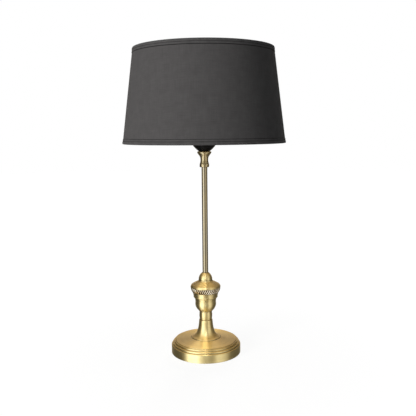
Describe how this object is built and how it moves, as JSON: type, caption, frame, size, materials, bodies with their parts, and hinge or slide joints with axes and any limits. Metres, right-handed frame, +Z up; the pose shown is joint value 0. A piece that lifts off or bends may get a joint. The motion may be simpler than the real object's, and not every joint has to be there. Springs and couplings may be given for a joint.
{
  "type": "candlestick table lamp",
  "caption": "Turned brass candlestick lamp with a weighted round foot, urn and slender stem, a screw lampholder, a candle bulb and a dark tapered drum shade.",
  "frame": {"origin": "centre of the felt pad's underside, on the surface the lamp stands on", "axes": "+Z up along the stem, +Y to the rear, where the cord bush is"},
  "size_m": [0.35, 0.35, 0.6662],
  "materials": {
    "antique_brass": "satin antique patina",
    "silvered_brass": "worn silvery patina",
    "cast_iron": "as cast",
    "felt": "felt",
    "black_plastic": "matt",
    "zinc_steel": "zinc plated",
    "black_phenolic": "moulded",
    "ceramic": "glazed ceramic",
    "bright_brass": "bright",
    "black_glass": "vitrite",
    "clear_glass": "clear",
    "filament": "phosphor coat",
    "nickel_wire": "drawn wire",
    "white_wire": "powder coat",
    "shade_fabric": "woven",
    "shade_lining": "matt sheet",
    "shade_tape": "woven tape"
  },
  "bodies": {
    "stand": {"foot_shell": "antique_brass", "foot_weight": "cast_iron", "foot_pad": "felt", "cord_bushing": "black_plastic", "foot_washer": "zinc_steel", "foot_nut": "zinc_steel", "tie_tube": "zinc_steel", "pedestal": "antique_brass", "neck_ring": "antique_brass", "urn_bowl": "antique_brass", "fluted_ring": "silvered_brass", "urn_shoulder": "antique_brass", "stem_collar": "antique_brass", "stem_tube": "antique_brass", "cup_ring": "antique_brass", "cup_grub_screw": "zinc_steel", "candle_cup": "antique_brass", "top_lock_nut": "zinc_steel", "holder_cap": "black_phenolic", "cap_lock_screw": "zinc_steel", "holder_body": "black_phenolic", "terminal_block": "ceramic", "terminal_screws": "bright_brass", "screw_shell": "bright_brass", "shell_rivets": "bright_brass", "centre_contact": "bright_brass"},
    "bulb_contact": {"bulb_tip": "bright_brass", "bulb_insulator": "black_glass"},
    "bulb": {"bulb_cap": "bright_brass", "bulb_glass": "clear_glass", "bulb_mount": "clear_glass", "bulb_filaments": "filament", "bulb_supports": "nickel_wire"},
    "clamp_ring": {"clamp_ring": "black_phenolic"},
    "shade": {"carrier_ring": "white_wire", "spider_arms": "white_wire", "top_hoop": "white_wire", "bottom_hoop": "white_wire", "shade_fabric": "shade_fabric", "shade_lining": "shade_lining", "top_tape": "shade_tape", "bottom_tape": "shade_tape"}
  },
  "joints": [
    {"name": "shade_lift", "type": "slide", "parent": "stand", "child": "clamp_ring", "axis": [0, 0, 1], "range_m": [0, 0.16]},
    {"name": "shade_turn", "type": "hinge", "parent": "clamp_ring", "child": "shade", "pos_m": [0, 0, 0.478], "axis": [0, 0, 1], "continuous": true},
    {"name": "bulb_travel", "type": "slide", "parent": "stand", "child": "bulb_contact", "axis": [0, 0, 1], "range_m": [0, 0.0109]},
    {"name": "bulb_turn", "type": "hinge", "parent": "bulb_contact", "child": "bulb", "pos_m": [0, 0, 0.5], "axis": [0, 0, 1], "range_deg": [0, 1080]}
  ],
  "couplings": [
    {"joint": "bulb_travel", "follows": "bulb_turn", "m_per_rad": 0.00057757}
  ]
}
